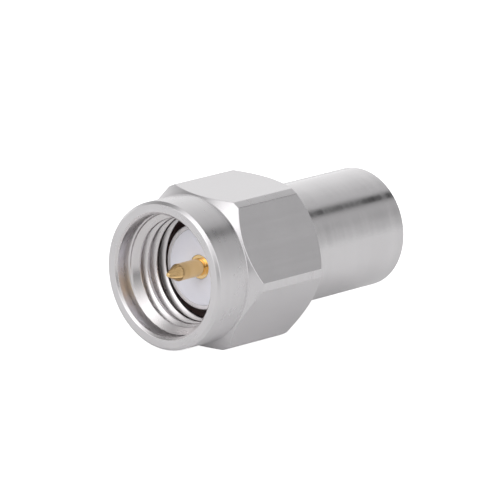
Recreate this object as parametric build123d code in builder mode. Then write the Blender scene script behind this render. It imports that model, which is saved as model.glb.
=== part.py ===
from build123d import *
import math
import os

# Coaxial terminator: a matched 50 ohm load behind a screw-on plug
# Every size is in millimetres.
# The axis of the part is Y, and the mating end faces -Y.
# The origin is on the axis, in the plane where the plug's nose meets the socket's seat.
# One flat of the hexagon faces down, and the part rests on it.

# Fits: all of them radial, unless they say otherwise
press_clearance = 0.01       # pieces that are pressed or screwed together for good
running_clearance = 0.035    # the coupling nut turning on the rear shell
flange_clearance = 0.075     # the flange, inside the nut's relief
ring_clearance = 0.08        # the split ring, loose in both of its grooves
axial_play = 0.025           # each side of the split ring, along the axis
gasket_clearance = 0.25      # soft gasket, clear of the turning nut
pocket_clearance = 0.15      # room for the collet's fingers to spread
disc_clearance = 0.06        # the collet's disc in the shell
spring_clearance = 0.11      # the disc spring in the shell, where it grows when pressed
slot_end_gap = 0.05          # fingers end this far past the cap they hold, along the axis
pocket_end_gap = 0.10        # the pocket is this much deeper than the fingers are long
thread_relief = 0.10         # the shell's thread is this much deeper than the spigot is long

# Coupling nut, outside
nut_front = -2.85            # station of the front rim
nut_length = 7.90
collar_diameter = 7.86       # plain round collar in front of the hexagon
collar_length = 2.23
across_flats = 8.00
corner_diameter = 9.00       # the hexagon's corners are turned down to this
rear_face_diameter = 7.90    # circle where the rear cone meets the rear face
hex_cone_angle = 45.0        # cones at both ends of the hexagon, from the face
rim_outer_chamfer = 0.15
rim_inner_chamfer = 0.12
rim_chamfer_limit = 0.40     # share of the rim's wall that one chamfer may take

# Coupling nut, inside: 36 threads to the inch, a quarter of an inch across
thread_minor_diameter = 5.64
entry_diameter = 6.50        # plain counterbore at the rim, clear of the thread
entry_depth = 0.93
thread_end = 0.60            # station of the last turn
nut_groove_depth = 0.34      # groove that holds the split ring
nut_rear_chamfer = 0.12

# Connector body: nose, flange, ring groove and threaded spigot, turned in one piece
nose_diameter = 4.56
nose_wall = 0.24
nose_length = 2.50           # from the mating plane to the flange
nose_chamfer = 0.05
flange_thickness = 0.50
body_groove_depth = 0.455
land_length = 0.65           # behind the ring groove, where the rear shell seats
spigot_diameter = 5.20
spigot_length = 2.30
spigot_chamfer = 0.20

# Split ring and gasket
ring_thickness = 0.60
ring_gap = 0.90
gasket_thickness = 0.55

# Dielectric beads
front_bead_length = 2.60
rear_bead_length = 2.00

# Centre contact
pin_diameter = 0.92
pin_length = 2.46            # in front of the mating plane
pin_cone_length = 0.74
pin_tip_flat = 0.20          # diameter of the blunt end, before it is rounded
pin_tip_round = 0.10
contact_diameter = 1.27
contact_collar_diameter = 2.00
contact_collar_length = 0.40
socket_wall = 0.19
socket_floor = 0.35          # thickness of metal in front of the socket's bore
socket_slot = 0.20
socket_slot_length = 0.80

# Resistor: a ceramic rod with a metal cap pressed on each end
rod_diameter = 1.00
rod_length = 5.10
cap_wall = 0.10
cap_floor = 0.15
cap_length = 0.90

# Load sleeve, whose bore narrows along the resistor
sleeve_nose_wall = 0.20
sleeve_step = 0.15           # the sleeve is smaller than the spigot in front of it
sleeve_cone_length = 0.35
line_impedance = 50.0        # ohms, at the front of the taper
taper_end_impedance = 20.0   # ohms, at the rear of the taper
free_space_factor = 60.0     # ohms, for a coaxial line in air
taper_stations = 6

# Ground collet behind the resistor
collet_finger_wall = 0.24
collet_finger_length = 0.85
collet_slot = 0.20
collet_slot_length = 0.70
collet_disc_thickness = 0.50

# Disc spring between the collet and the end wall of the shell
spring_inner_diameter = 2.40
spring_thickness = 0.20
spring_height = 0.50

# Rear shell
shell_diameter = 6.35
shell_end_wall = 1.37
shell_end_chamfer = 0.12

# Stations along the axis that follow from the sizes above
nut_rear = nut_front + nut_length
collar_end = nut_front + collar_length
groove_front = nose_length + flange_thickness
groove_rear = groove_front + ring_thickness + 2 * axial_play
land_rear = groove_rear + land_length
spigot_end = land_rear + spigot_length
socket_front = front_bead_length + rear_bead_length
resistor_front = socket_front + socket_floor
rod_rear = resistor_front + cap_floor + rod_length
resistor_rear = rod_rear + cap_floor
socket_end = resistor_front + cap_length + slot_end_gap
collet_rear = resistor_rear + collet_disc_thickness
shell_floor = collet_rear + spring_height
shell_end = shell_floor + shell_end_wall

# Diameters that follow from the sizes above
dielectric_diameter = nose_diameter - 2 * nose_wall
bead_diameter = dielectric_diameter - 2 * press_clearance
relief_diameter = shell_diameter + 2 * flange_clearance
nut_rear_bore = shell_diameter + 2 * running_clearance
nut_groove_diameter = nut_rear_bore + 2 * nut_groove_depth
body_groove_diameter = shell_diameter - 2 * body_groove_depth
cap_diameter = rod_diameter + 2 * cap_wall
cap_grip_bore = cap_diameter + 2 * press_clearance
sleeve_diameter = spigot_diameter - 2 * sleeve_step
shell_bore_diameter = sleeve_diameter + 2 * press_clearance
same_place = 1e-4            # edges closer than this are the same edge


def plane_at(station):
    """The plane across the axis at a station, drawn as seen from the mating end."""
    return Plane.XZ.offset(-station)


def round_edges(part, diameter, station):
    """The round edges of a turned part with this diameter, at this station."""
    rings = part.edges().filter_by(GeomType.CIRCLE)
    rings = rings.filter_by(lambda edge: abs(2 * edge.radius - diameter) < same_place)
    return rings.filter_by(lambda edge: abs(edge.center().Y - station) < same_place)


def cone_length(wide, narrow, angle):
    """The length along the axis of a cone that leans this much from its end face."""
    return (wide - narrow) / 2 * math.tan(math.radians(angle))


os.makedirs("parts", exist_ok=True)

# Coupling nut: a turned blank, milled to a hexagon behind the collar and then bored
front_cone = cone_length(corner_diameter, collar_diameter, hex_cone_angle)
rear_cone = cone_length(corner_diameter, rear_face_diameter, hex_cone_angle)
entry_end = nut_front + entry_depth
lead_in_end = entry_end + (entry_diameter - thread_minor_diameter) / 2
run_out_end = thread_end + (relief_diameter - thread_minor_diameter) / 2
rim_limit = rim_chamfer_limit * (collar_diameter - entry_diameter) / 2

with BuildPart() as coupling_nut:
    with BuildSketch(Plane.XY):
        with BuildLine():
            Polyline(
                (0, collar_end),
                (collar_diameter / 2, collar_end),
                (corner_diameter / 2, collar_end + front_cone),
                (corner_diameter / 2, nut_rear - rear_cone),
                (rear_face_diameter / 2, nut_rear),
                (0, nut_rear),
                close=True,
            )
        make_face()
    revolve(axis=Axis.Y)
    with BuildSketch(plane_at(nut_rear)):
        RegularPolygon(radius=across_flats / 2, side_count=6, major_radius=False)
    extrude(amount=nut_rear - collar_end, mode=Mode.INTERSECT)
    with BuildSketch(plane_at(collar_end)):
        Circle(collar_diameter / 2)
    extrude(amount=collar_length)
    with BuildSketch(Plane.XY):
        with BuildLine():
            Polyline(
                (0, nut_front),
                (entry_diameter / 2, nut_front),
                (entry_diameter / 2, entry_end),
                (thread_minor_diameter / 2, lead_in_end),
                (thread_minor_diameter / 2, thread_end),
                (relief_diameter / 2, run_out_end),
                (relief_diameter / 2, groove_front),
                (nut_groove_diameter / 2, groove_front),
                (nut_groove_diameter / 2, groove_rear),
                (nut_rear_bore / 2, groove_rear),
                (nut_rear_bore / 2, nut_rear),
                (0, nut_rear),
                close=True,
            )
        make_face()
    revolve(axis=Axis.Y, mode=Mode.SUBTRACT)
    chamfer(round_edges(coupling_nut, collar_diameter, nut_front), min(rim_outer_chamfer, rim_limit))
    chamfer(round_edges(coupling_nut, entry_diameter, nut_front), min(rim_inner_chamfer, rim_limit))
    chamfer(round_edges(coupling_nut, nut_rear_bore, nut_rear), nut_rear_chamfer)
coupling_nut.part.label = "coupling_nut"
export_step(coupling_nut.part, "parts/coupling_nut.step")

# Connector body: the outer conductor of the plug
with BuildPart() as connector_body:
    with BuildSketch(Plane.XY):
        with BuildLine():
            Polyline(
                (dielectric_diameter / 2, 0),
                (nose_diameter / 2, 0),
                (nose_diameter / 2, nose_length),
                (shell_diameter / 2, nose_length),
                (shell_diameter / 2, groove_front),
                (body_groove_diameter / 2, groove_front),
                (body_groove_diameter / 2, groove_rear),
                (shell_diameter / 2, groove_rear),
                (shell_diameter / 2, land_rear),
                (spigot_diameter / 2, land_rear),
                (spigot_diameter / 2, spigot_end),
                (dielectric_diameter / 2, spigot_end),
                close=True,
            )
        make_face()
    revolve(axis=Axis.Y)
    chamfer(round_edges(connector_body, nose_diameter, 0), nose_chamfer)
    chamfer(round_edges(connector_body, spigot_diameter, spigot_end), spigot_chamfer)
connector_body.part.label = "connector_body"
export_step(connector_body.part, "parts/connector_body.step")

# Split ring: it holds the nut on the body and lets it turn
ring_inner = body_groove_diameter + 2 * ring_clearance
ring_outer = nut_groove_diameter - 2 * ring_clearance
ring_front = groove_front + axial_play

with BuildPart() as retaining_ring:
    with BuildSketch(plane_at(ring_front + ring_thickness)):
        Circle(ring_outer / 2)
        Circle(ring_inner / 2, mode=Mode.SUBTRACT)
        with Locations((0, (ring_inner + ring_outer) / 4)):
            Rectangle(ring_gap, ring_outer - ring_inner, mode=Mode.SUBTRACT)
    extrude(amount=ring_thickness)
retaining_ring.part.label = "retaining_ring"
export_step(retaining_ring.part, "parts/retaining_ring.step")

# Gasket: a flat rubber ring that lies on the front of the flange
gasket_inner = nose_diameter + 2 * press_clearance
gasket_outer = relief_diameter - 2 * gasket_clearance

with BuildPart() as flange_gasket:
    with BuildSketch(plane_at(nose_length)):
        Circle(gasket_outer / 2)
        Circle(gasket_inner / 2, mode=Mode.SUBTRACT)
    extrude(amount=gasket_thickness)
flange_gasket.part.label = "flange_gasket"
export_step(flange_gasket.part, "parts/flange_gasket.step")

# Dielectrics: two beads that clamp the collar of the contact between them
bead_bore = contact_diameter + 2 * press_clearance

with BuildPart() as front_dielectric:
    with BuildSketch(plane_at(front_bead_length)):
        Circle(bead_diameter / 2)
        Circle(bead_bore / 2, mode=Mode.SUBTRACT)
    extrude(amount=front_bead_length)
front_dielectric.part.label = "front_dielectric"
export_step(front_dielectric.part, "parts/front_dielectric.step")

with BuildPart() as rear_dielectric:
    with BuildSketch(plane_at(socket_front)):
        Circle(bead_diameter / 2)
        Circle(bead_bore / 2, mode=Mode.SUBTRACT)
    extrude(amount=rear_bead_length)
    with BuildSketch(plane_at(front_bead_length)):
        Circle(contact_collar_diameter / 2 + press_clearance)
    extrude(amount=-contact_collar_length, mode=Mode.SUBTRACT)
rear_dielectric.part.label = "rear_dielectric"
export_step(rear_dielectric.part, "parts/rear_dielectric.step")

# Centre contact: pin, shoulder, collar and a slotted socket for the resistor
contact_collar_rear = front_bead_length + contact_collar_length
socket_diameter = cap_grip_bore + 2 * socket_wall
pin_tip = -pin_length

with BuildPart() as centre_contact:
    with BuildSketch(Plane.XY):
        with BuildLine():
            Polyline(
                (0, pin_tip),
                (pin_tip_flat / 2, pin_tip),
                (pin_diameter / 2, pin_tip + pin_cone_length),
                (pin_diameter / 2, 0),
                (contact_diameter / 2, 0),
                (contact_diameter / 2, front_bead_length),
                (contact_collar_diameter / 2, front_bead_length),
                (contact_collar_diameter / 2, contact_collar_rear),
                (contact_diameter / 2, contact_collar_rear),
                (contact_diameter / 2, socket_front),
                (socket_diameter / 2, socket_front),
                (socket_diameter / 2, socket_end),
                (cap_grip_bore / 2, socket_end),
                (cap_grip_bore / 2, resistor_front),
                (0, resistor_front),
                close=True,
            )
        make_face()
    revolve(axis=Axis.Y)
    fillet(round_edges(centre_contact, pin_tip_flat, pin_tip), pin_tip_round)
    with BuildSketch(plane_at(socket_end)):
        for turn in (0, 90):
            Rectangle(2 * socket_diameter, socket_slot, rotation=turn)
    extrude(amount=socket_slot_length, mode=Mode.SUBTRACT)
centre_contact.part.label = "centre_contact"
export_step(centre_contact.part, "parts/centre_contact.step")

# Resistor rod, between its two caps
with BuildPart() as resistor_rod:
    with BuildSketch(plane_at(rod_rear)):
        Circle(rod_diameter / 2)
    extrude(amount=rod_length)
resistor_rod.part.label = "resistor_rod"
export_step(resistor_rod.part, "parts/resistor_rod.step")

# Resistor caps: two equal cups, each with its floor at its own end of the rod
cap_places = {
    "resistor_front_cap": (resistor_front, 1),
    "resistor_rear_cap": (resistor_rear, -1),
}
for cap_name, (cap_face, inward) in cap_places.items():
    with BuildPart() as resistor_cap:
        with BuildSketch(plane_at(cap_face)):
            Circle(cap_diameter / 2)
        extrude(amount=-inward * cap_length)
        with BuildSketch(plane_at(cap_face + inward * cap_floor)):
            Circle(rod_diameter / 2)
        extrude(amount=-inward * cap_length, mode=Mode.SUBTRACT)
    resistor_cap.part.label = cap_name
    export_step(resistor_cap.part, f"parts/{cap_name}.step")


# Load sleeve: its bore follows the impedance that is left at each point of the resistor
taper_rear = resistor_rear - collet_finger_length - pocket_end_gap


def taper_point(share):
    """A point of the bore, where share runs from 0 at the front to 1 at the rear."""
    impedance = line_impedance + share * (taper_end_impedance - line_impedance)
    radius = rod_diameter / 2 * math.exp(impedance / free_space_factor)
    return (radius, socket_end + share * (taper_rear - socket_end))


sleeve_nose_diameter = bead_diameter
sleeve_nose_bore = sleeve_nose_diameter - 2 * sleeve_nose_wall
collet_finger_diameter = cap_grip_bore + 2 * collet_finger_wall
collet_pocket_diameter = collet_finger_diameter + 2 * pocket_clearance
taper_points = [taper_point(i / taper_stations) for i in range(taper_stations + 1)]

with BuildPart() as load_sleeve:
    with BuildSketch(Plane.XY):
        with BuildLine():
            Spline(*taper_points)
            Polyline(
                taper_points[-1],
                (collet_pocket_diameter / 2, taper_rear),
                (collet_pocket_diameter / 2, resistor_rear),
                (sleeve_diameter / 2, resistor_rear),
                (sleeve_diameter / 2, spigot_end),
                (sleeve_nose_diameter / 2, spigot_end),
                (sleeve_nose_diameter / 2, socket_front),
                (sleeve_nose_bore / 2, socket_front),
                (sleeve_nose_bore / 2, socket_end - sleeve_cone_length),
                taper_points[0],
            )
        make_face()
    revolve(axis=Axis.Y)
load_sleeve.part.label = "load_sleeve"
export_step(load_sleeve.part, "parts/load_sleeve.step")

# Ground collet: four spring fingers on a disc that bears on the end of the sleeve
collet_disc_diameter = shell_bore_diameter - 2 * disc_clearance
finger_front = resistor_rear - collet_finger_length

with BuildPart() as ground_collet:
    with BuildSketch(plane_at(collet_rear)):
        Circle(collet_disc_diameter / 2)
    extrude(amount=collet_disc_thickness)
    with BuildSketch(plane_at(resistor_rear)):
        Circle(collet_finger_diameter / 2)
        Circle(cap_grip_bore / 2, mode=Mode.SUBTRACT)
    extrude(amount=collet_finger_length)
    with BuildSketch(plane_at(finger_front)):
        for turn in (0, 90):
            Rectangle(2 * collet_finger_diameter, collet_slot, rotation=turn)
    extrude(amount=-collet_slot_length, mode=Mode.SUBTRACT)
ground_collet.part.label = "ground_collet"
export_step(ground_collet.part, "parts/ground_collet.step")

# Disc spring: a shallow cone that keeps the sleeve and the resistor pushed forward
spring_rise = spring_height - spring_thickness
spring_outer_diameter = shell_bore_diameter - 2 * spring_clearance

with BuildPart() as load_spring:
    with BuildSketch(Plane.XY):
        with BuildLine():
            Polyline(
                (spring_inner_diameter / 2, collet_rear),
                (spring_outer_diameter / 2, collet_rear + spring_rise),
                (spring_outer_diameter / 2, shell_floor),
                (spring_inner_diameter / 2, shell_floor - spring_rise),
                close=True,
            )
        make_face()
    revolve(axis=Axis.Y)
load_spring.part.label = "load_spring"
export_step(load_spring.part, "parts/load_spring.step")

# Rear shell: a cup that screws onto the spigot and closes the load
shell_thread_diameter = spigot_diameter + 2 * press_clearance
shell_thread_depth = spigot_length + thread_relief

with BuildPart() as rear_shell:
    with BuildSketch(plane_at(shell_end)):
        Circle(shell_diameter / 2)
    extrude(amount=shell_end - land_rear)
    with BuildSketch(plane_at(shell_floor)):
        Circle(shell_bore_diameter / 2)
    extrude(amount=shell_floor - land_rear, mode=Mode.SUBTRACT)
    with BuildSketch(plane_at(land_rear)):
        Circle(shell_thread_diameter / 2)
    extrude(amount=-shell_thread_depth, mode=Mode.SUBTRACT)
    chamfer(round_edges(rear_shell, shell_diameter, shell_end), shell_end_chamfer)
rear_shell.part.label = "rear_shell"
export_step(rear_shell.part, "parts/rear_shell.step")
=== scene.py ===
# %% [markdown]
# # A coaxial terminator, dressed in Blender
# The part is a small plug, not quite 16 mm long, that closes the end of a coaxial line with a
# matched load. Its construction comes ready made, as a fixed frame of solids at real size.
# This file gives each visible piece a finer mesh and a finish, and puts the object on a pale
# floor under soft studio light. Every length is in metres, so sizes in millimetres are
# multiplied by MM.

# %% Load the frame
import math

import bmesh
import bpy
from mathutils import Matrix, Vector


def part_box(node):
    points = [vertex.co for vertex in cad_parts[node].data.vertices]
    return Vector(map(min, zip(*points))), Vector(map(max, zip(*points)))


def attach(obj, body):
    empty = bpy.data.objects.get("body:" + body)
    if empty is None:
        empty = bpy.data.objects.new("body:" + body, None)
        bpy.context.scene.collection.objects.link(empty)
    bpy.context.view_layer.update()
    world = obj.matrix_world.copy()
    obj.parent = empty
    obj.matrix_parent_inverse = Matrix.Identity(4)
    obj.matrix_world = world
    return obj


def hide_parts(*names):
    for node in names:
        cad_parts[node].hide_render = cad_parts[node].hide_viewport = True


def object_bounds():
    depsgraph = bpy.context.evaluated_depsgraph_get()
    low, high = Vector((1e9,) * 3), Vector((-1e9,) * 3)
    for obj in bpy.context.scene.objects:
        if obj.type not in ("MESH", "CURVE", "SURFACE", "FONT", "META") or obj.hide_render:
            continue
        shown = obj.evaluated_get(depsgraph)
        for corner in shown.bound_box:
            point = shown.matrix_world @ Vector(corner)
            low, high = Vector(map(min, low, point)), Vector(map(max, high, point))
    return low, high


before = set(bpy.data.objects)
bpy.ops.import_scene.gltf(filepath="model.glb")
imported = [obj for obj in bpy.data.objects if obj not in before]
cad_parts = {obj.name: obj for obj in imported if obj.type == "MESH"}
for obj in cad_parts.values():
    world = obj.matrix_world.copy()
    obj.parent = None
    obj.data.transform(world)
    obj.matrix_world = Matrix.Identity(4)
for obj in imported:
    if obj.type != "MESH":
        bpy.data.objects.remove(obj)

MM = 0.001
solid_box = [list(corner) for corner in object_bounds()]
print("the solids reach from", solid_box[0], "to", solid_box[1])

# %% [markdown]
# ## Sizes
# The frame knows where every solid begins and ends, so the outer sizes are read from it. The
# sizes inside a piece, such as a chamfer, can't be read from a box, so they are written here
# once, with the same values as the solids have. The axis of the part is Y, the mating end
# faces -Y, and a "station" is a place along that axis. The thread has 36 turns to the inch.

# %% Sizes of the coupling nut
nut_low, nut_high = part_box("coupling_nut")
nut_front, nut_rear = nut_low.y, nut_high.y
flat_radius = nut_high.z
corner_radius = 4.50 * MM
collar_radius = 3.93 * MM
collar_end = -0.62 * MM
rear_face_radius = 3.95 * MM
cone_slope = math.tan(math.radians(45.0))
rim_chamfer = 0.15 * MM
entry_chamfer = 0.12 * MM
entry_radius = 3.25 * MM
entry_end = -1.92 * MM
thread_minor_radius = 2.82 * MM
thread_major_radius = 3.175 * MM
thread_pitch = 25.4 / 36 * MM
run_out_end = 1.03 * MM
relief_end = 3.00 * MM
ring_groove_radius = 3.55 * MM
ring_groove_end = 3.65 * MM
rear_bore_radius = 3.21 * MM
rear_bore_chamfer = 0.12 * MM
print("the nut is", round((nut_rear - nut_front) / MM, 2), "mm long")

# %% [markdown]
# Two more turned pieces can be seen: the shell, which is a cup, and the connector's body, which
# is a tube with a flange. Each has its own short list.

# %% Sizes of the fixed pieces
shell_low, shell_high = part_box("rear_shell")
shell_radius = shell_high.x
shell_chamfer = 0.12 * MM
shell_bore_radius = 2.46 * MM
shell_bore_end = 11.35 * MM
shell_thread_radius = 2.61 * MM
shell_thread_end = 6.70 * MM
body_low, body_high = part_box("connector_body")
body_bore_radius = 2.04 * MM
nose_radius = 2.28 * MM
nose_chamfer = 0.05 * MM
nose_length = 2.50 * MM
flange_end = 3.00 * MM
body_groove_radius = 2.72 * MM
body_groove_end = 3.65 * MM
land_end = 4.30 * MM
spigot_radius = 2.60 * MM
spigot_chamfer = 0.20 * MM
print("the shell ends at", round(shell_high.y / MM, 2), "mm")

# %% [markdown]
# ## The camera
# The photograph was taken from far away with a long lens: edges that are parallel on the part
# stay almost parallel in the picture. A lens of the same kind is chosen here, and the angles
# come from lining up the round rim, the six edges and the rear cylinder. The part leans back
# on its tail by a few degrees in the photograph, which here is a small roll of the camera.

# %% Camera
image_width = 500
sensor_width = 36.0
camera_azimuth = math.radians(40.61)
camera_elevation = math.radians(16.57)
camera_roll = math.radians(4.07)
camera_distance = 0.3932
pixels_per_mm = 19.044
aim_station = 6.0 * MM
aim_right = -1.364 * MM
aim_up = -0.141 * MM

back = Vector((
    math.sin(camera_azimuth) * math.cos(camera_elevation),
    -math.cos(camera_azimuth) * math.cos(camera_elevation),
    math.sin(camera_elevation),
))
level_right = Vector((math.cos(camera_azimuth), math.sin(camera_azimuth), 0))
level_up = back.cross(level_right)
right = level_right * math.cos(camera_roll) + level_up * math.sin(camera_roll)
up = level_up * math.cos(camera_roll) - level_right * math.sin(camera_roll)
aim = Vector((0, aim_station, 0)) + right * aim_right + up * aim_up

camera = bpy.data.objects.new("camera", bpy.data.cameras.new("camera"))
bpy.context.scene.collection.objects.link(camera)
turned = Matrix((right, up, back)).transposed()
camera.matrix_world = Matrix.LocRotScale(aim + back * camera_distance, turned, None)
camera.data.sensor_width = sensor_width
camera.data.lens = pixels_per_mm * camera_distance / MM / image_width * sensor_width
camera.data.clip_start = 0.01
camera.data.clip_end = 20.0
bpy.context.scene.camera = camera
print("the lens is", round(camera.data.lens), "mm long")

# %% [markdown]
# ## Node helpers
# Materials, the world and Geometry Nodes are all trees of nodes. A few small helpers keep the
# cells below short: one adds a node and fills its inputs, one does a sum, one mixes colours.
# A Mix node has sockets for each kind of value, and those for colours are found by their place.


# %% Helpers for building node trees
def add_node(tree, kind, inputs=None, **settings):
    """A new node. An input is given by name or number: a value, or another node's output."""
    node = tree.nodes.new(kind)
    for key, value in settings.items():
        setattr(node, key, value)
    for key, value in (inputs or {}).items():
        if isinstance(value, bpy.types.NodeSocket):
            tree.links.new(value, node.inputs[key])
        else:
            node.inputs[key].default_value = value
    return node


def calc(tree, operation, *values):
    """A math node on one, two or three values; gives its output."""
    node = add_node(tree, "ShaderNodeMath", dict(enumerate(values)), operation=operation)
    return node.outputs[0]


MIX_FACTOR, MIX_FIRST, MIX_SECOND, MIX_RESULT = 0, 6, 7, 2


def blend_colours(tree, factor, first, second):
    """A mix of two colours by a factor; gives its output."""
    sockets = {MIX_FACTOR: factor, MIX_FIRST: first, MIX_SECOND: second}
    node = add_node(tree, "ShaderNodeMix", sockets, data_type="RGBA")
    return node.outputs[MIX_RESULT]


def grey(level):
    """A grey as a colour with full opacity."""
    return (level, level, level, 1.0)


print("a middle grey is", grey(0.5))

# %% [markdown]
# ## The studio
# Bare metal has no colour of its own: it shows the room. So the room is built first. The
# world is a soft studio written as a few functions of direction. Half of it lies behind the
# part and half in front. Each half is one ring of brightness round the part's axis, from the
# right (0 degrees) over the top (90) to the left (180): a grey wall on the right, a white
# screen on the left, and a narrow dark gap between the two, which draws the dark streak
# along a polished cylinder. The floor hides the lower half. The fade says how far towards the
# rear a direction points, as its share of Y, where the front ring starts to give way and
# where it has gone.

# %% Rings of the room
half_turn = 180
ring_behind = [
    (0, 0.74), (18, 0.58), (35, 0.48), (52, 0.52), (60, 0.47), (65, 0.06), (73, 0.06),
    (80, 0.60), (95, 0.62), (115, 0.75), (135, 0.89), (152, 0.96), (165, 1.00), (180, 1.15),
]
ring_in_front = [
    (0, 0.10), (34, 0.12), (50, 0.32), (63, 0.68), (76, 0.90), (88, 1.10), (98, 0.98),
    (110, 0.85), (122, 0.42), (138, 0.32), (150, 0.42), (165, 0.72), (180, 1.05),
]
fade_start, fade_end = -0.10, 0.35

world = bpy.data.worlds.new("studio")
bpy.context.scene.world = world
world.use_nodes = True
room = world.node_tree
room.nodes.clear()
direction = add_node(room, "ShaderNodeTexCoord").outputs["Generated"]
split = add_node(room, "ShaderNodeSeparateXYZ", {0: direction})
angle = calc(room, "ARCTAN2", split.outputs["Z"], split.outputs["X"])
ring_place = calc(room, "DIVIDE", angle, math.pi)


def ring_of_light(name, stops):
    """A ramp of brightness round the axis, from (degrees, brightness) stops."""
    ramp = add_node(room, "ShaderNodeValToRGB", {0: ring_place}, name=name)
    ramp.color_ramp.interpolation = "EASE"
    points = ramp.color_ramp.elements
    points.remove(points[-1])
    for i, (degrees, level) in enumerate(stops):
        point = points[0] if i == 0 else points.new(degrees / half_turn)
        point.position = degrees / half_turn
        point.color = grey(level)
    return ramp.outputs["Color"]


behind = ring_of_light("behind", ring_behind)
in_front = ring_of_light("in front", ring_in_front)
backness = add_node(
    room, "ShaderNodeMapRange",
    {"Value": split.outputs["Y"], "From Min": fade_start, "From Max": fade_end},
    interpolation_type="SMOOTHSTEP",
).outputs[0]
around = blend_colours(room, backness, in_front, behind)
print("the rings have", len(ring_behind), "and", len(ring_in_front), "stops")

# %% [markdown]
# Two soft lamps are added to the rings. Each is a round patch with a soft edge: it is
# brightest where a direction points straight at the lamp, and ends at a given angle from
# there. The one on the right lights the floor beside the part. The one in front lights the
# white bead at the bottom of the bore and the insides of the thread. It hangs straight in
# front of the nut, where it doesn't wash out the sides of the part when one walks round it.

# %% Lamps
# name, direction, full inside this angle, gone outside this one (degrees), brightness
lamps = [
    ("right", (0.88, -0.10, 0.46), 14, 44, 1.15),
    ("front", (0.00, -0.90, 0.41), 10, 43, 1.40),
]


def lamp(name, towards, inner, outer, strength):
    """A soft round lamp: full inside one angle (degrees), gone outside the other."""
    facing = add_node(room, "ShaderNodeVectorMath", {
        0: direction, 1: tuple(Vector(towards).normalized()),
    }, operation="DOT_PRODUCT").outputs["Value"]
    return add_node(room, "ShaderNodeMapRange", {
        "Value": facing, "From Min": math.cos(math.radians(outer)),
        "From Max": math.cos(math.radians(inner)), "To Max": strength,
    }, name=name, interpolation_type="SMOOTHSTEP").outputs[0]


lit = around
for settings in lamps:
    patch = lamp(*settings)
    lit = add_node(room, "ShaderNodeVectorMath", {0: lit, 1: patch}, operation="ADD").outputs[0]
seen = add_node(room, "ShaderNodeLightPath").outputs["Is Camera Ray"]
shown = blend_colours(room, seen, lit, grey(1.0))
background = add_node(room, "ShaderNodeBackground", {"Color": shown})
add_node(room, "ShaderNodeOutputWorld", {"Surface": background.outputs[0]})
bpy.context.scene.view_settings.view_transform = "Standard"
print("the room has", len(room.nodes), "nodes and", len(lamps), "lamps")

# %% [markdown]
# ## The floor
# The part lies on a plain white floor that runs out of sight. The nut rests on one of its
# flats, so the floor lies just under the lowest flat. One big square is enough for it.

# %% Floor
floor_gap = 0.01 * MM
floor_reach = 6.0

floor_mesh = bpy.data.meshes.new("floor")
floor_height = solid_box[0][2] - floor_gap
corners = [(-1, -1), (1, -1), (1, 1), (-1, 1)]
floor_mesh.from_pydata(
    [(x * floor_reach, y * floor_reach, floor_height) for x, y in corners], [], [(0, 1, 2, 3)],
)
floor = bpy.data.objects.new("floor", floor_mesh)
bpy.context.scene.collection.objects.link(floor)
print("the floor lies at", round(floor_height / MM, 2), "mm")

# %% [markdown]
# In the photograph the floor is so bright that hardly any shadow is left. So what the camera
# sees of it gets some light of its own, and the Light Path node keeps nearly all of that away
# from the metal. The paint drifts a little between two whites, as a real table does.

# %% Floor paint
floor_white = 0.78
floor_drift = 0.015
floor_glow = 0.76
unseen_glow = 0.08
floor_grain = 40.0
floor_roughness = 0.9

floor_paint = bpy.data.materials.new("floor_paint")
floor_paint.use_nodes = True
paint = floor_paint.node_tree
paint.nodes.clear()
camera_sees = add_node(paint, "ShaderNodeLightPath").outputs["Is Camera Ray"]
grain = add_node(paint, "ShaderNodeTexNoise", {"Scale": floor_grain, "Detail": 3.0}).outputs[0]
painted = add_node(paint, "ShaderNodeBsdfPrincipled", {
    "Base Color": blend_colours(paint, grain, grey(floor_white), grey(floor_white + floor_drift)),
    "Roughness": floor_roughness,
    "Specular IOR Level": 0.0,
    "Emission Color": grey(1.0),
    "Emission Strength": calc(paint, "MULTIPLY_ADD", camera_sees, floor_glow, unseen_glow),
})
add_node(paint, "ShaderNodeOutputMaterial", {"Surface": painted.outputs[0]})
floor.data.materials.append(floor_paint)
print("the floor's paint has", len(paint.nodes), "nodes")

# %% [markdown]
# ## Tool marks
# More than one material needs tool marks, so they are node groups: each is built once and
# placed in a material with that material's own values. One helper makes an empty group, the
# other draws two noises on the same spot, one for the single marks and a wider one for the
# bands in which they come.


# %% Shader group helpers
def new_group(name, inputs, outputs):
    """A shader node group with named inputs and outputs; gives its tree and its input node."""
    group = bpy.data.node_groups.new(name, "ShaderNodeTree")
    for title, kind, value in inputs:
        socket = group.interface.new_socket(title, in_out="INPUT", socket_type=kind)
        if value is not None:
            socket.default_value = value
    for title, kind in outputs:
        group.interface.new_socket(title, in_out="OUTPUT", socket_type=kind)
    return group, group.nodes.new("NodeGroupInput").outputs


def marks_and_bands(group, spot, mark_width, marks_per_band):
    """Fine marks and wider bands of noise on the same spot, put out by the group."""
    fine_scale = calc(group, "DIVIDE", 1.0, mark_width)
    fine = add_node(group, "ShaderNodeTexNoise", {
        "Vector": spot.outputs[0], "Scale": fine_scale, "Detail": 2.0, "Roughness": 0.6,
    }).outputs[0]
    band_scale = calc(group, "DIVIDE", fine_scale, marks_per_band)
    bands = add_node(group, "ShaderNodeTexNoise", {
        "Vector": spot.outputs[0], "Scale": band_scale, "Detail": 1.0,
    }).outputs[0]
    add_node(group, "NodeGroupOutput", {"Marks": fine, "Bands": bands})
    print(group.name, "has", len(group.nodes), "nodes")


# %% [markdown]
# Nearly every piece here was turned on a lathe, and a cutter leaves fine rings: on a cylinder
# they follow each other along the axis, on an end face along the radius. One group makes
# both, because it draws its noise on two numbers, the distance from the axis and the station.
# A little of X is mixed in, so that no ring is quite even. The rings are finer than a pixel,
# so what the eye gets is a soft satin smear across them, as on the real thing.

# %% Turning marks group
FLOAT, VECTOR = "NodeSocketFloat", "NodeSocketVector"

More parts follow.
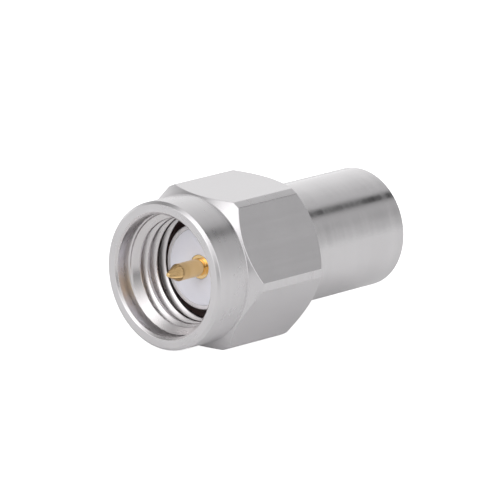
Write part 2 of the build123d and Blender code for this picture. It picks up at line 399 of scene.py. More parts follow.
turning_marks, given = new_group(
    "turning_marks",
    [("Place", VECTOR, None), ("Mark Width", FLOAT, 0.06 * MM), ("Unevenness", FLOAT, 0.1)],
    [("Marks", FLOAT), ("Bands", FLOAT)],
)
axes = add_node(turning_marks, "ShaderNodeSeparateXYZ", {0: given["Place"]}).outputs
across = add_node(turning_marks, "ShaderNodeCombineXYZ", {"X": axes["X"], "Z": axes["Z"]})
radius = add_node(
    turning_marks, "ShaderNodeVectorMath", {0: across.outputs[0]}, operation="LENGTH",
).outputs["Value"]
wander = calc(turning_marks, "MULTIPLY", axes["X"], given["Unevenness"])
spot = add_node(turning_marks, "ShaderNodeCombineXYZ", {"X": radius, "Y": axes["Y"], "Z": wander})
marks_and_bands(turning_marks, spot, given["Mark Width"], marks_per_band=9.0)

# %% [markdown]
# The flats of the nut are not turned. They are the sides of the drawn hexagonal bar, or a
# milling cutter ran along them, so their marks run lengthwise. The same noise does it when
# it is stretched along the axis.

# %% Drawn marks group
drawn_marks, given = new_group(
    "drawn_marks",
    [("Place", VECTOR, None), ("Mark Width", FLOAT, 0.05 * MM), ("Stretch", FLOAT, 40.0)],
    [("Marks", FLOAT), ("Bands", FLOAT)],
)
axes = add_node(drawn_marks, "ShaderNodeSeparateXYZ", {0: given["Place"]}).outputs
along = calc(drawn_marks, "DIVIDE", axes["Y"], given["Stretch"])
spot = add_node(drawn_marks, "ShaderNodeCombineXYZ", {"X": axes["X"], "Y": along, "Z": axes["Z"]})
marks_and_bands(drawn_marks, spot, given["Mark Width"], marks_per_band=8.0)

# %% [markdown]
# Handling and plating leave a third kind of mark: clouds a millimetre or two wide, where the
# surface is a touch lighter or duller. Without them, steel looks too even to be real. A
# four-dimensional noise gives each material clouds of its own, by another seed.

# %% Handling clouds group
handling_clouds, given = new_group(
    "handling_clouds",
    [("Place", VECTOR, None), ("Cloud Size", FLOAT, 1.6 * MM), ("Seed", FLOAT, 0.0)],
    [("Clouds", FLOAT)],
)
cloud_scale = calc(handling_clouds, "DIVIDE", 1.0, given["Cloud Size"])
clouds = add_node(handling_clouds, "ShaderNodeTexNoise", {
    "Vector": given["Place"], "W": given["Seed"], "Scale": cloud_scale, "Detail": 3.0,
}, noise_dimensions="4D").outputs[0]
add_node(handling_clouds, "NodeGroupOutput", {"Clouds": clouds})
print("handling_clouds has", len(handling_clouds.nodes), "nodes")

# %% [markdown]
# ## The metals
# All the metals are one recipe with different numbers: a base colour that drifts between two
# near tones, a roughness that drifts with it, and a bump from the marks. Clouds and bands
# count the same in the drift. Such noise stays near its middle, so only the part between a
# third and two thirds is used, stretched over the whole way from one tone to the other.


# %% Metal recipe
drift_low, drift_high = 0.35, 0.65
even_share = 0.5


def marked_material(name, marks, mark_size, cloud_values):
    """A material with marks and clouds but no shader yet; gives it and what they put out."""
    material = bpy.data.materials.new(name)
    material.use_nodes = True
    tree = material.node_tree
    tree.nodes.clear()
    place = add_node(tree, "ShaderNodeTexCoord").outputs["Object"]
    mark_values = {"Place": place, "Mark Width": mark_size}
    cloud_values = {"Place": place, **cloud_values}
    mark = add_node(tree, "ShaderNodeGroup", mark_values, node_tree=marks)
    cloud = add_node(tree, "ShaderNodeGroup", cloud_values, node_tree=handling_clouds)
    return material, mark.outputs, cloud.outputs["Clouds"]


def finish_material(material, mark, depth, shader_values):
    """The bump, the shader and the output of a material."""
    tree = material.node_tree
    relief = add_node(tree, "ShaderNodeBump", {
        "Strength": 1.0, "Distance": depth, "Height": mark["Marks"],
    }).outputs[0]
    shader = add_node(tree, "ShaderNodeBsdfPrincipled", {**shader_values, "Normal": relief})
    add_node(tree, "ShaderNodeOutputMaterial", {"Surface": shader.outputs[0]})
    print(material.name, "has", len(tree.nodes), "nodes")
    return material


def metal(name, marks, tones, roughness, spread, mark_size, depth, seed):
    """A metal: its kind of marks, two tones, roughness and its spread, mark size and depth."""
    material, mark, clouds = marked_material(name, marks, mark_size, {"Seed": seed})
    tree = material.node_tree
    both = calc(tree, "ADD", clouds, mark["Bands"])
    drift = add_node(tree, "ShaderNodeMapRange", {
        "Value": calc(tree, "MULTIPLY", both, even_share),
        "From Min": drift_low, "From Max": drift_high,
    }).outputs[0]
    colour = blend_colours(tree, drift, (*tones[0], 1.0), (*tones[1], 1.0))
    dullness = add_node(tree, "ShaderNodeMapRange", {
        "Value": drift, "To Min": roughness - spread, "To Max": roughness + spread,
    }).outputs[0]
    return finish_material(material, mark, depth, {
        "Base Color": colour, "Metallic": 1.0, "Roughness": dullness,
    })


# %% [markdown]
# The outside is stainless steel, which reflects about two thirds of the light and is slightly
# warm. The turned ends of the nut are satin. The shell is smoother, so that it mirrors the
# room, but its deeper marks break the reflections up. The flats keep the even face of the
# drawn bar, and the nose ring is pale and almost matt. Inside the nut, the thread has the
# sheen of a fresh cut. The plain relief behind it is dull, and its darker, browner tone is
# painted shade for the deep recess where little light gets in.

# %% Steels
turned_steel = metal(
    "turned_steel", turning_marks, tones=((0.665, 0.651, 0.663), (0.725, 0.709, 0.721)),
    roughness=0.29, spread=0.04, mark_size=0.055 * MM, depth=0.0006 * MM, seed=1.0,
)
shell_steel = metal(
    "shell_steel", turning_marks, tones=((0.670, 0.656, 0.667), (0.725, 0.710, 0.721)),
    roughness=0.21, spread=0.06, mark_size=0.050 * MM, depth=0.0012 * MM, seed=9.0,
)
satin_steel = metal(
    "satin_steel", turning_marks, tones=((0.860, 0.840, 0.855), (0.910, 0.890, 0.905)),
    roughness=0.50, spread=0.03, mark_size=0.050 * MM, depth=0.0010 * MM, seed=14.0,
)
drawn_steel = metal(
    "drawn_steel", drawn_marks, tones=((0.680, 0.666, 0.678), (0.704, 0.690, 0.702)),
    roughness=0.24, spread=0.015, mark_size=0.045 * MM, depth=0.0001 * MM, seed=2.0,
)
threaded_steel = metal(
    "threaded_steel", turning_marks, tones=((0.68, 0.655, 0.66), (0.73, 0.71, 0.715)),
    roughness=0.28, spread=0.03, mark_size=0.040 * MM, depth=0.0010 * MM, seed=3.0,
)
# Painted shade: darker, browner tones for the deep relief behind the thread.
relief_shade_steel = metal(
    "relief_shade_steel", turning_marks, tones=((0.58, 0.45, 0.43), (0.66, 0.52, 0.50)),
    roughness=0.75, spread=0.05, mark_size=0.060 * MM, depth=0.0010 * MM, seed=10.0,
)

# %% [markdown]
# The contact is gold plated, which gives the smoothest face of all, much more red than blue.
# The hidden pieces are the usual ones of such a load: springs of a copper alloy, a brass
# sleeve, tinned caps on the resistor and a disc spring of tempered steel.

# %% Gold and the hidden metals
gold_plating = metal(
    "gold_plating", turning_marks, tones=((0.80, 0.55, 0.25), (0.87, 0.62, 0.31)),
    roughness=0.10, spread=0.02, mark_size=0.040 * MM, depth=0.0003 * MM, seed=4.0,
)
copper_spring = metal(
    "copper_spring", turning_marks, tones=((0.82, 0.55, 0.30), (0.88, 0.62, 0.36)),
    roughness=0.28, spread=0.05, mark_size=0.050 * MM, depth=0.0010 * MM, seed=5.0,
)
turned_brass = metal(
    "turned_brass", turning_marks, tones=((0.78, 0.62, 0.32), (0.86, 0.70, 0.38)),
    roughness=0.28, spread=0.05, mark_size=0.060 * MM, depth=0.0012 * MM, seed=6.0,
)
tinned_cap = metal(
    "tinned_cap", turning_marks, tones=((0.62, 0.62, 0.61), (0.72, 0.72, 0.71)),
    roughness=0.38, spread=0.06, mark_size=0.060 * MM, depth=0.0008 * MM, seed=7.0,
)
blued_spring = metal(
    "blued_spring", turning_marks, tones=((0.40, 0.40, 0.42), (0.52, 0.52, 0.53)),
    roughness=0.35, spread=0.05, mark_size=0.060 * MM, depth=0.0010 * MM, seed=8.0,
)

# %% [markdown]
# ## The other materials
# What isn't metal has a recipe of its own, on the same marks and clouds. The two tones are
# mixed by the clouds alone, which are smaller here, and the roughness follows the bands.


# %% Dull material recipe
small_cloud = 0.8 * MM
dull_spread = 0.075


def dull(name, tones, roughness, mark_size, depth, seed):
    """A material that isn't metal: two tones, a roughness, mark size and depth."""
    cloud_values = {"Cloud Size": small_cloud, "Seed": seed}
    material, mark, clouds = marked_material(name, turning_marks, mark_size, cloud_values)
    tree = material.node_tree
    dullness = calc(tree, "MULTIPLY_ADD", mark["Bands"], 2 * dull_spread, roughness - dull_spread)
    return finish_material(material, mark, depth, {
        "Base Color": blend_colours(tree, clouds, (*tones[0], 1.0), (*tones[1], 1.0)),
        "Roughness": dullness,
    })


# %% [markdown]
# The bead round the contact is a white fluoropolymer: matt, a little waxy, cut on a lathe as
# well. The gasket is black rubber, which is never quite black. The resistor's rod is a fine
# white ceramic.

# %% Plastic, rubber and ceramic
white_bead = dull(
    "white_bead", tones=((0.86, 0.86, 0.94), (0.91, 0.91, 0.98)),
    roughness=0.5, mark_size=0.06 * MM, depth=0.002 * MM, seed=11.0,
)
black_rubber = dull(
    "black_rubber", tones=((0.085, 0.060, 0.060), (0.110, 0.080, 0.080)),
    roughness=0.6, mark_size=0.05 * MM, depth=0.003 * MM, seed=12.0,
)
white_ceramic = dull(
    "white_ceramic", tones=((0.80, 0.78, 0.72), (0.86, 0.84, 0.79)),
    roughness=0.55, mark_size=0.05 * MM, depth=0.002 * MM, seed=13.0,
)

# %% [markdown]
# ## Turning a profile
# A lathe piece is a profile swept round the axis. No real edge is a mathematical line: a
# cutter or a deburring tool leaves a tiny round that catches the light. So each corner of a
# profile is first replaced by a short curve, with one more point on either side of it. That
# keeps the shading of the faces next to it flat, because a vertex's normal is the average of
# the faces round it.


# %% Profile helpers
edge_round = 0.02 * MM
curve_steps = (0.0, 0.25, 0.5, 0.75, 1.0)
corner_points = len(curve_steps) + 2
side_share = 0.22


def eased_corner(before, corner, after, ease):
    """Points in place of one corner: a small curve with a supporting point on each side."""
    before, corner, after = Vector(before), Vector(corner), Vector(after)
    inward, outward = before - corner, after - corner
    reach = min(ease, side_share * inward.length, side_share * outward.length)
    start = corner + inward.normalized() * reach
    end = corner + outward.normalized() * reach
    points = [corner + inward.normalized() * 2 * reach]
    for t in curve_steps:
        points.append(start * (1 - t) ** 2 + corner * 2 * t * (1 - t) + end * t * t)
    points.append(corner + outward.normalized() * 2 * reach)
    return [tuple(point) for point in points]


def eased(profile, ease=edge_round, closed=False):
    """A profile of (radius, station) points with every corner eased."""
    count = len(profile)
    points = []
    for i, corner in enumerate(profile):
        if not closed and i in (0, count - 1):
            points.append(corner)
        else:
            points += eased_corner(profile[i - 1], corner, profile[(i + 1) % count], ease)
    return points


print("edges are eased by", edge_round / MM, "mm, with", corner_points, "points")

# %% [markdown]
# Sweeping is done in three steps: each point of the profile becomes a row of vertices round
# the axis, faces are laid between neighbouring rows, and the mesh gets its outward normals,
# smooth shading and materials. It reports its open edges, because a solid thing has none.


# %% Lathe helpers
def turned_rows(profile, angles):
    """Rows of vertex places: each profile point swept through the angles, poles as one point."""
    rows = []
    for radius, station in profile:
        sweep = angles if radius > 0 else angles[:1]
        rows.append([(radius * math.cos(a), station, radius * math.sin(a)) for a in sweep])
    return rows


def skin(bm, rows, closed):
    """Faces between each row of vertices and the next, round the whole turn."""
    vertices = [[bm.verts.new(place) for place in row] for row in rows]
    pairs = list(zip(vertices, vertices[1:]))
    if closed:
        pairs.append((vertices[-1], vertices[0]))
    for low, high in pairs:
        count = max(len(low), len(high))
        for i in range(count):
            j = (i + 1) % count
            ring = [low[i % len(low)], low[j % len(low)], high[j % len(high)], high[i % len(high)]]
            bm.faces.new(list(dict.fromkeys(ring)))


def finish_mesh(bm, name, materials):
    """A closed, smooth, outward facing mesh object from a bmesh."""
    bmesh.ops.recalc_face_normals(bm, faces=bm.faces)
    for face in bm.faces:
        face.smooth = True
    open_edges = sum(1 for edge in bm.edges if len(edge.link_faces) != 2)
    mesh = bpy.data.meshes.new(name)
    bm.to_mesh(mesh)
    bm.free()
    for material in materials:
        mesh.materials.append(material)
    piece = bpy.data.objects.new(name, mesh)
    bpy.context.scene.collection.objects.link(piece)
    print(name, "has", len(mesh.polygons), "faces and", open_edges, "open edges")
    return piece


def even_angles(count):
    """Angles of a whole turn in equal steps."""
    return [2 * math.pi * i / count for i in range(count)]


def lathe(name, profile, material, columns=160, closed=False):
    """A piece turned from a profile of (radius, station) points."""
    bm = bmesh.new()
    skin(bm, turned_rows(profile, even_angles(columns)), closed)
    return finish_mesh(bm, name, [material])


# %% [markdown]
# ## The rear shell
# The plain cylinder behind the nut is a cup: it is screwed on the connector's spigot and
# holds the load inside. Its profile runs from the axis at the inner end of the bore, along
# the bore to the open front, and back along the outside to the axis at the closed end.

# %% Rear shell
shell = lathe("terminator_shell", eased([
    (0, shell_bore_end),
    (shell_bore_radius, shell_bore_end),
    (shell_bore_radius, shell_thread_end),
    (shell_thread_radius, shell_thread_end),
    (shell_thread_radius, shell_low.y),
    (shell_radius, shell_low.y),
    (shell_radius, shell_high.y - shell_chamfer),
    (shell_radius - shell_chamfer, shell_high.y),
    (0, shell_high.y),
]), shell_steel, columns=192)

# %% [markdown]
# ## The connector body
# The outer conductor is one turned piece. Its thin nose makes contact with the other half of
# the joint, its flange takes the nut's push, its groove holds the split ring that the nut
# turns on, and its rear spigot carries the shell. The profile is a closed loop, since the
# piece is a tube.

# %% Connector body
body = lathe("connector_outer", eased([
    (body_bore_radius, body_low.y),
    (nose_radius - nose_chamfer, body_low.y),
    (nose_radius, body_low.y + nose_chamfer),
    (nose_radius, nose_length),
    (shell_radius, nose_length),
    (shell_radius, flange_end),
    (body_groove_radius, flange_end),
    (body_groove_radius, body_groove_end),
    (shell_radius, body_groove_end),
    (shell_radius, land_end),
    (spigot_radius, land_end),
    (spigot_radius, body_high.y - spigot_chamfer),
    (spigot_radius - spigot_chamfer, body_high.y),
    (body_bore_radius, body_high.y),
], closed=True), satin_steel, closed=True)

# %% [markdown]
# ## The bead and the gasket
# The white bead holds the contact in the middle and ends flush with the nose. The gasket is
# a soft ring at the bottom of the gap round the nose; only its darkness can be seen. Both are
# plain rings, the gasket with a fully rounded section.

# %% Bead and gasket
bead_low, bead_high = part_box("front_dielectric")
bead_bore_radius = 0.645 * MM
bead = lathe("insulator_bead", eased([
    (bead_bore_radius, bead_low.y),
    (bead_high.x, bead_low.y),
    (bead_high.x, bead_high.y),
    (bead_bore_radius, bead_high.y),
], closed=True), white_bead, closed=True)

gasket_low, gasket_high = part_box("flange_gasket")
gasket_inner_radius = 2.29 * MM
gasket_round = 0.12 * MM
gasket = lathe("gasket_ring", eased([
    (gasket_inner_radius, gasket_low.y),
    (gasket_high.x, gasket_low.y),
    (gasket_high.x, gasket_high.y),
    (gasket_inner_radius, gasket_high.y),
], gasket_round, closed=True), black_rubber, columns=96, closed=True)

# %% [markdown]
# ## The centre contact
# A gold plated pin with a cone at its tip, a thicker shoulder in the bead, a collar between
# the two beads, and a slotted socket that grips the resistor's cap. It is turned first, and
# the slots are cut afterwards, as on the real one. The tip gets a larger round than the other
# corners, because it has to find its way into a socket.

# %% Turned contact
contact_low, contact_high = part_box("centre_contact")
tip_flat_radius = 0.10 * MM
pin_radius = 0.46 * MM
cone_end = -1.72 * MM
shoulder_radius = 0.635 * MM
collar_start, collar_stop, contact_collar_radius = 2.6 * MM, 3.0 * MM, 1.0 * MM
socket_start, socket_radius = 4.6 * MM, 0.80 * MM
socket_bore_start, socket_bore_radius = 4.95 * MM, 0.61 * MM
tip_round = 0.10 * MM

contact_profile = [
    (0, contact_low.y),
    (tip_flat_radius, contact_low.y),
    (pin_radius, cone_end),
    (pin_radius, 0),
    (shoulder_radius, 0),
    (shoulder_radius, collar_start),
    (contact_collar_radius, collar_start),
    (contact_collar_radius, collar_stop),
    (shoulder_radius, collar_stop),
    (shoulder_radius, socket_start),
    (socket_radius, socket_start),
    (socket_radius, contact_high.y),
    (socket_bore_radius, contact_high.y),
    (socket_bore_radius, socket_bore_start),
    (0, socket_bore_start),
]
contact_points = eased(contact_profile)
contact_points[1:1 + corner_points] = eased_corner(*contact_profile[:3], tip_round)
contact = lathe("contact_pin", contact_points, gold_plating, columns=96)

# %% [markdown]
# The slots and, later, the thread are made by Geometry Nodes. A tree of them is built once and
# used as a modifier. Its sizes are named inputs. A modifier keeps an input under the socket's
# identifier, not its name, so a helper looks the identifier up. Then the evaluated result is
# written into a plain mesh and the modifier is taken off.


# %% Geometry Nodes helpers
def new_shape_tree(name, inputs):
    """A geometry node tree with named inputs; gives the tree and its input node's outputs."""
    tree = bpy.data.node_groups.new(name, "GeometryNodeTree")
    tree.interface.new_socket("Geometry", in_out="INPUT", socket_type="NodeSocketGeometry")
    for title, kind in inputs:
        tree.interface.new_socket(title, in_out="INPUT", socket_type=kind)
    tree.interface.new_socket("Geometry", in_out="OUTPUT", socket_type="NodeSocketGeometry")
    return tree, tree.nodes.new("NodeGroupInput").outputs


def grow(piece, tree, values):
    """The mesh that the tree makes of a piece with these input values, as plain data."""
    modifier = piece.modifiers.new(tree.name, "NODES")
    modifier.node_group = tree
    for item in tree.interface.items_tree:
        if item.in_out == "INPUT" and item.name in values:
            modifier[item.identifier] = values[item.name]
    piece.update_tag()
    bpy.context.view_layer.update()
    evaluated = piece.evaluated_get(bpy.context.evaluated_depsgraph_get())
    mesh = bpy.data.meshes.new_from_object(evaluated)
    piece.modifiers.remove(modifier)
    old, piece.data = piece.data, mesh
    bpy.data.meshes.remove(old)
    return mesh


# %% [markdown]
# Two crossing saw cuts let the contact's socket spring. They repeat round the axis, so the
# tree places one box as often as there are slots, each turned by an equal share of a half
# turn, and takes them all away at once. Half of each box sticks out beyond the end, so that
# the cut is clean.

# %% Slot cutter tree
INT, MATERIAL = "NodeSocketInt", "NodeSocketMaterial"
slot_count = 2
slot_width = 0.20 * MM
slot_length = 0.80 * MM
slot_reach = 2.0 * MM

slot_cutter, given = new_shape_tree("slot_cutter", [
    ("Slots", INT), ("Slot Width", FLOAT), ("Slot Length", FLOAT), ("Reach", FLOAT),
    ("End Station", FLOAT), ("Finish", MATERIAL),
])
box_size = add_node(slot_cutter, "ShaderNodeCombineXYZ", {
    "X": given["Reach"], "Y": calc(slot_cutter, "MULTIPLY", given["Slot Length"], 2.0),
    "Z": given["Slot Width"],
})
cutter = add_node(slot_cutter, "GeometryNodeMeshCube", {"Size": box_size.outputs[0]})
middle = add_node(slot_cutter, "ShaderNodeCombineXYZ", {"Y": given["End Station"]})
places = add_node(slot_cutter, "GeometryNodePoints", {
    "Count": given["Slots"], "Position": middle.outputs[0],
})
number = add_node(slot_cutter, "GeometryNodeInputIndex").outputs[0]
turn_each = calc(slot_cutter, "DIVIDE", math.pi, given["Slots"])
turn = add_node(slot_cutter, "ShaderNodeCombineXYZ", {
    "Y": calc(slot_cutter, "MULTIPLY", number, turn_each),
})
boxes = add_node(slot_cutter, "GeometryNodeInstanceOnPoints", {
    "Points": places.outputs[0], "Instance": cutter.outputs[0], "Rotation": turn.outputs[0],
})
cutters = add_node(slot_cutter, "GeometryNodeRealizeInstances", {0: boxes.outputs[0]})
cut = add_node(slot_cutter, "GeometryNodeMeshBoolean", operation="DIFFERENCE", solver="EXACT")
slot_cutter.links.new(given["Geometry"], cut.inputs["Mesh 1"])
slot_cutter.links.new(cutters.outputs[0], cut.inputs["Mesh 2"])
solid = add_node(slot_cutter, "GeometryNodeRealizeInstances", {0: cut.outputs[0]})
dressed = add_node(slot_cutter, "GeometryNodeSetMaterial", {
    "Geometry": solid.outputs[0], "Material": given["Finish"],
})
add_node(slot_cutter, "NodeGroupOutput", {0: dressed.outputs[0]})

grow(contact, slot_cutter, {
    "Slots": slot_count, "Slot Width": slot_width, "Slot Length": slot_length,
    "Reach": slot_reach, "End Station": contact_high.y, "Finish": gold_plating,
})
print("the slotted contact has", len(contact.data.polygons), "faces")

# %% [markdown]
# ## The coupling nut
# This is the piece that the eye rests on: a round collar, a hexagon with its corners turned
# off, two 45 degree cones where the hexagon meets the round ends, and a bore with a thread.
# Outside, its section changes round the turn: over a flat the surface lies nearer the axis
# than over a corner. So the nut is made of rows like a lathe piece, but each of its columns
# has a profile of its own. The columns stand close together near the corners and wide apart
# on the flats. The corners are eased over a few tenths of a degree, like the other edges.

# %% Columns of the nut
sector = 60.0
half_sector = sector / 2
edge_angle = math.degrees(math.acos(flat_radius / corner_radius))
corner_spread = 0.40
one_side = [0, 3, 6, 9, 12, 15, 18, 21, 24]
one_side += [edge_angle + share * corner_spread for share in (-2, -1, -0.5, 0, 0.5, 1, 2)]
flat_angles = sorted([-a for a in one_side[1:]] + one_side + [half_sector])
nut_degrees = [half_sector + sector * k + a for k in range(6) for a in flat_angles]
nut_angles = [math.radians(a) for a in nut_degrees]
print("the nut has", len(nut_angles), "columns; a flat ends", round(edge_angle, 2), "degrees out")


def hexagon_reach(degrees):
    """Distance from the axis to the hexagon, with its corners turned off and eased."""
    from_flat = degrees % sector - half_sector
    over_flat = flat_radius / math.cos(math.radians(from_flat))
    slope = math.sin(math.radians(edge_angle)) / math.cos(math.radians(edge_angle)) ** 2
    soft = flat_radius * slope * math.radians(corner_spread)
    overlap = max(soft - abs(over_flat - corner_radius), 0) / soft
    return min(over_flat, corner_radius) - overlap * overlap * soft / 4


# %% [markdown]
# The profile of one column is listed from the front edge of the thread, round the outside
# and back into the bore. The cones meet the hexagon further back where the hexagon reaches
# further out, which draws the curved edges that one sees in front of each flat. The profile
# stays open, because the thread is to fill the way between its two ends.


# %% Profile of one column
def nut_column(degrees):
    """Profile of the nut at an angle, from the thread's front end round to its rear end."""
    reach = hexagon_reach(degrees)
    return eased([
        (entry_radius, entry_end),
        (entry_radius, nut_front + entry_chamfer),
        (entry_radius + entry_chamfer, nut_front),
        (collar_radius - rim_chamfer, nut_front),
        (collar_radius, nut_front + rim_chamfer),
        (collar_radius, collar_end),
        (reach, collar_end + (reach - collar_radius) * cone_slope),
        (reach, nut_rear - (reach - rear_face_radius) * cone_slope),
        (rear_face_radius, nut_rear),
        (rear_bore_radius + rear_bore_chamfer, nut_rear),
        (rear_bore_radius, nut_rear - rear_bore_chamfer),
        (rear_bore_radius, ring_groove_end),
        (ring_groove_radius, ring_groove_end),
        (ring_groove_radius, relief_end),
        (entry_radius, relief_end),
        (entry_radius, run_out_end),
    ])


columns = [nut_column(degrees) for degrees in nut_degrees]
nut_rows = [
    [(column[i][0] * math.cos(a), column[i][1], column[i][0] * math.sin(a))
     for column, a in zip(columns, nut_angles)]
    for i in range(len(columns[0]))
]
print("the nut's outside has", len(nut_rows), "rows")

# %% [markdown]
# ## The thread
# The thread follows a rule, so Geometry Nodes make it. It starts as a flat sheet, the wall of
# the bore unrolled: across it runs the angle, and up it runs the distance along the bore. The
# tree gives each point the depth of a 60 degree groove that repeats every pitch, slides each
# column along by its share of a pitch, so that the grooves become a helix, and rolls the
# sheet up. The flanks of such a groove rise by the root of three for each step along the
# bore. At both ends the thread fades into the cone that a tap leaves, and the sheet is
# cut off at the station where the plain bore begins.

# %% Thread tree
flank_slope = math.sqrt(3.0)
seam_gap = 0.0001 * MM

thread_roller, given = new_shape_tree("thread_roller", [
    ("Pitch", FLOAT), ("Minor Radius", FLOAT), ("Major Radius", FLOAT), ("Bore Radius", FLOAT),
    ("Start Station", FLOAT), ("End Station", FLOAT), ("Root Half Width", FLOAT),
    ("Softness", FLOAT), ("Advance", FLOAT), ("Finish", MATERIAL),
])
spread = add_node(thread_roller, "GeometryNodeInputPosition").outputs[0]
sheet_axes = add_node(thread_roller, "ShaderNodeSeparateXYZ", {0: spread}).outputs
swing, slid = sheet_axes["X"], sheet_axes["Y"]


def sum_up(operation, *values):
    """A sum in the thread's tree."""
    return calc(thread_roller, operation, *values)


slide = sum_up("MULTIPLY", given["Pitch"], sum_up("DIVIDE", swing, 2 * math.pi))
station = sum_up("MAXIMUM", sum_up("SUBTRACT", slid, slide), given["Start Station"])
station = sum_up("MINIMUM", station, given["End Station"])
half_pitch = sum_up("MULTIPLY", given["Pitch"], 0.5)
from_start = sum_up("ADD", sum_up("SUBTRACT", slid, given["Start Station"]), given["Advance"])
from_root = sum_up("PINGPONG", from_start, half_pitch)
beyond = sum_up("MAXIMUM", sum_up("SUBTRACT", from_root, given["Root Half Width"]), 0.0)
groove = sum_up("MULTIPLY_ADD", beyond, -flank_slope, given["Major Radius"])
front_cone = sum_up("SUBTRACT", given["Bore Radius"],
                    sum_up("SUBTRACT", station, given["Start Station"]))
rear_cone = sum_up("SUBTRACT", given["Bore Radius"],
                   sum_up("SUBTRACT", given["End Station"], station))
bore = sum_up("MAXIMUM", given["Minor Radius"], sum_up("MAXIMUM", front_cone, rear_cone))
wall = sum_up("SMOOTH_MAX", groove, bore, given["Softness"])
rolled = add_node(thread_roller, "ShaderNodeCombineXYZ", {
    "X": sum_up("MULTIPLY", wall, sum_up("COSINE", swing)),
    "Y": station,
    "Z": sum_up("MULTIPLY", wall, sum_up("SINE", swing)),
})
rolled_up = add_node(thread_roller, "GeometryNodeSetPosition", {
    "Geometry": given["Geometry"], "Position": rolled.outputs[0],
})
closed_seam = add_node(thread_roller, "GeometryNodeMergeByDistance", {
    "Geometry": rolled_up.outputs[0], "Distance": seam_gap,
})
thread_solid = add_node(thread_roller, "GeometryNodeRealizeInstances", {0: closed_seam.outputs[0]})
dressed = add_node(thread_roller, "GeometryNodeSetMaterial", {
    "Geometry": thread_solid.outputs[0], "Material": given["Finish"],
})
add_node(thread_roller, "NodeGroupOutput", {0: dressed.outputs[0]})
print("the thread tree has", len(thread_roller.nodes), "nodes")

# %% [markdown]
# The sheet has the same columns as the nut, so that the two fit together without a gap, and
# 32 rows to each turn of the thread, which makes its flanks smooth. It is one pitch longer
# than the bore, because the helix slides its last column back by that much. A real thread has
# neither a sharp root nor a sharp crest: the root is flat for a short way, and the crest is
# soft. The advance turns the thread to where its end shows in the mouth in the photograph.

# %% Thread wall
rows_per_pitch = 32
root_half_width = 0.06 * MM
crest_softness = 0.03 * MM
thread_advance = 0.285 * MM

row_step = thread_pitch / rows_per_pitch
row_count = math.ceil((run_out_end - entry_end + thread_pitch) / row_step) + 1
sheet_angles = nut_angles + [nut_angles[0] + 2 * math.pi]
width = len(sheet_angles)
sheet_points = [
    (a - nut_angles[0], entry_end + row_step * row, 0)
    for row in range(row_count) for a in sheet_angles
]
sheet_faces = [
    (row * width + i, row * width + i + 1, (row + 1) * width + i + 1, (row + 1) * width + i)
    for row in range(row_count - 1) for i in range(width - 1)
]
sheet_mesh = bpy.data.meshes.new("thread_sheet")
sheet_mesh.from_pydata(sheet_points, [], sheet_faces)
thread_wall = bpy.data.objects.new("thread_wall", sheet_mesh)
bpy.context.scene.collection.objects.link(thread_wall)
wall_mesh = grow(thread_wall, thread_roller, {
    "Pitch": thread_pitch, "Minor Radius": thread_minor_radius,
    "Major Radius": thread_major_radius, "Bore Radius": entry_radius,
    "Start Station": entry_end, "End Station": run_out_end,
    "Root Half Width": root_half_width, "Softness": crest_softness, "Advance": thread_advance,
    "Finish": threaded_steel,
})
wall_mesh.transform(Matrix.Rotation(-nut_angles[0], 4, "Y"))
print("the thread has", len(wall_mesh.polygons), "faces")

# %% [markdown]
# The outside and the thread wall are now put together: both meshes go into one, the points
# that lie on each other at the two ends of the thread are merged, and the result is a single
# closed surface. Each face then gets its finish by where it lies. A face is part of a flat if
# it stands clear of the collar, runs along the axis and lies between two corners. In the
# bore, the thread and the counterbore in front of it get one finish, and the relief behind
# the thread the darker, browner one that is painted shade. The rest is turned.

# %% Join the nut
join_gap = 0.0002 * MM
clear_of_collar = 0.02 * MM
level_limit = 0.02

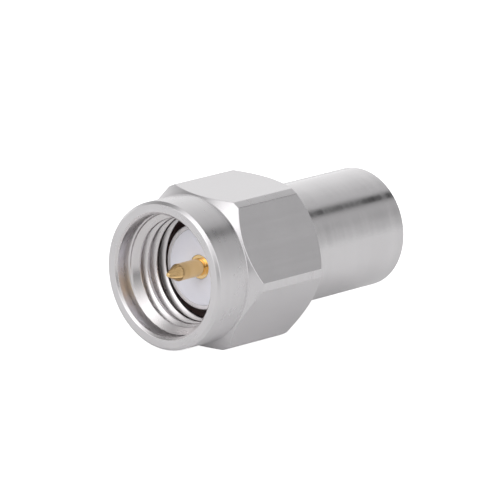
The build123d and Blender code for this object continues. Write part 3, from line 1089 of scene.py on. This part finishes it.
nut_mesh = bmesh.new()
skin(nut_mesh, nut_rows, closed=False)
nut_mesh.from_mesh(wall_mesh)
bpy.data.objects.remove(thread_wall)
bmesh.ops.remove_doubles(nut_mesh, verts=nut_mesh.verts, dist=join_gap)
TURNED, DRAWN, THREADED, RELIEF_SHADE = range(4)
for face in nut_mesh.faces:
    middle = face.calc_center_median()
    off_axis = math.hypot(middle.x, middle.z)
    face.material_index = TURNED
    if off_axis < entry_radius + entry_chamfer + edge_round and middle.y < ring_groove_end:
        # Faces behind the thread's end get the material with painted shade of the deep relief.
        face.material_index = RELIEF_SHADE if middle.y > run_out_end else THREADED
    face.normal_update()
    from_flat = abs(math.degrees(math.atan2(middle.z, middle.x)) % sector - half_sector)
    level = abs(face.normal.y) < level_limit
    if off_axis > collar_radius + clear_of_collar and level and from_flat < edge_angle:
        face.material_index = DRAWN
nut_finishes = [turned_steel, drawn_steel, threaded_steel, relief_shade_steel]
nut = finish_mesh(nut_mesh, "hex_coupling_nut", nut_finishes)

# %% [markdown]
# ## Pieces that stay as they are
# The split ring, the second bead, the resistor with its two caps, the sleeve, the earthing
# cup and the disc spring are shut inside. Their solids already have the right shape, so they
# stay, and get the finish of the real ones.

# %% Finishes of the hidden pieces
hidden_finishes = {
    "retaining_ring": copper_spring,
    "rear_dielectric": white_bead,
    "resistor_rod": white_ceramic,
    "resistor_front_cap": tinned_cap,
    "resistor_rear_cap": tinned_cap,
    "load_sleeve": turned_brass,
    "ground_collet": copper_spring,
    "load_spring": blued_spring,
}
for node, finish in hidden_finishes.items():
    solid_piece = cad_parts[node]
    for material_slot in solid_piece.material_slots:
        material_slot.material = finish
print("dressed", len(hidden_finishes), "hidden pieces")

# %% [markdown]
# ## What each piece rides on
# The nut turns on the connector, and everything else belongs to the connector. Each new
# piece says which body it rides on, which material slot of the record it follows, and which
# solid it stands for. The slot is listed but not used: each piece is attached to its body,
# and the solid it stands for is hidden.

# %% Ride and replace
new_pieces = [
    (nut, "nut", "stainless_steel", "coupling_nut"),
    (shell, "connector", "stainless_steel", "rear_shell"),
    (body, "connector", "stainless_steel", "connector_body"),
    (bead, "connector", "white_dielectric", "front_dielectric"),
    (gasket, "connector", "dark_rubber", "flange_gasket"),
    (contact, "connector", "gold_plate", "centre_contact"),
]
for piece, moves_with, finish_slot, stands_for in new_pieces:
    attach(piece, moves_with)
    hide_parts(stands_for)
print("placed", len(new_pieces), "pieces")
